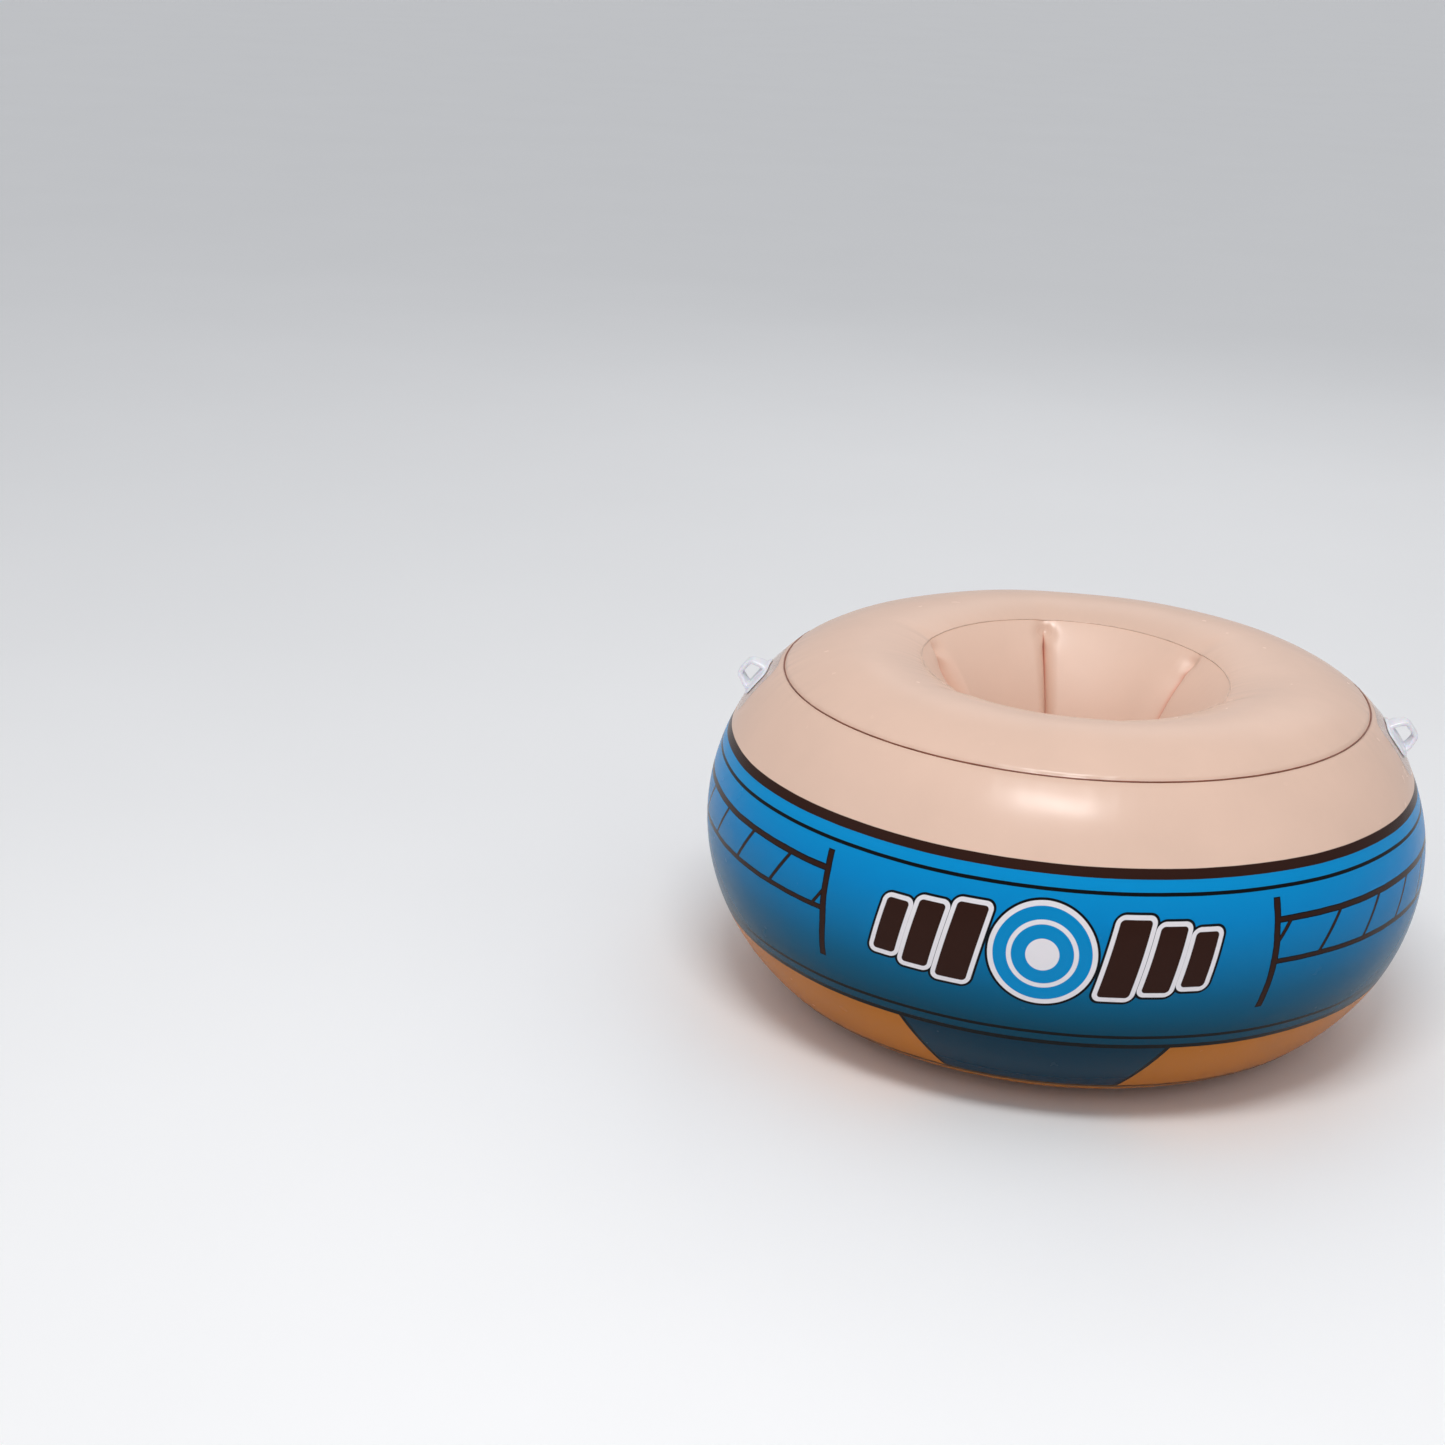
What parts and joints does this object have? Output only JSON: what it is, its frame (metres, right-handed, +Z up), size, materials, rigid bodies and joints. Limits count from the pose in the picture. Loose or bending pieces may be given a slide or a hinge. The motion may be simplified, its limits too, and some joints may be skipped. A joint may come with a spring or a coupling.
{
  "type": "wearable inflatable ring",
  "caption": "Round inflatable bumper ring worn at the waist, with a printed belt, a lobed wearer's hole, moulded side loops and an air valve.",
  "frame": {"origin": "on the floor, under the centre of the wearer's hole", "axes": "+Z up out of the hole, the printed front and its badge face -Y, the loops are at -X (left) and +X (right), the valve is at +Y"},
  "size_m": [0.914, 0.914, 0.4513],
  "materials": {
    "skin_sheet": "glossy satin vinyl",
    "printed_sheet": "glossy satin vinyl, printed",
    "tan_sheet": "glossy satin vinyl",
    "weld_line": "fused, slightly glossy",
    "clear_patch": "clear glossy vinyl",
    "white_fitting": "moulded, slightly translucent",
    "clear_flap": "soft clear film",
    "seal_rubber": "matt"
  },
  "bodies": {
    "ring": {"top_panel": "skin_sheet", "outer_wall": "printed_sheet", "inner_wall": "skin_sheet", "bottom_panel": "tan_sheet", "top_outer_weld": "weld_line", "top_inner_weld": "weld_line", "bottom_outer_weld": "weld_line", "bottom_inner_weld": "weld_line", "left_loop_patch": "clear_patch", "right_loop_patch": "clear_patch", "left_loop": "white_fitting", "right_loop": "white_fitting", "valve_patch": "clear_patch", "valve_base": "white_fitting"},
    "insert": {"valve_insert": "white_fitting", "valve_seal": "seal_rubber"},
    "flap": {"valve_flap": "clear_flap"},
    "cap": {"valve_cap": "white_fitting", "cap_strap": "white_fitting"}
  },
  "joints": [
    {"name": "insert_pull", "type": "slide", "parent": "ring", "child": "insert", "axis": [0, 0.8174, 0.576], "range_m": [0, 0.018]},
    {"name": "cap_hinge", "type": "hinge", "parent": "insert", "child": "cap", "pos_m": [0, 0.43221, 0.35289], "axis": [-1, 0, 0], "range_deg": [0, 165]},
    {"name": "flap_hinge", "type": "hinge", "parent": "insert", "child": "flap", "pos_m": [0, 0.40724, 0.35107], "axis": [1, 0, 0], "range_deg": [0, 55], "stiffness_Nm_per_rad": 0.002, "springref_deg": -28.65}
  ]
}
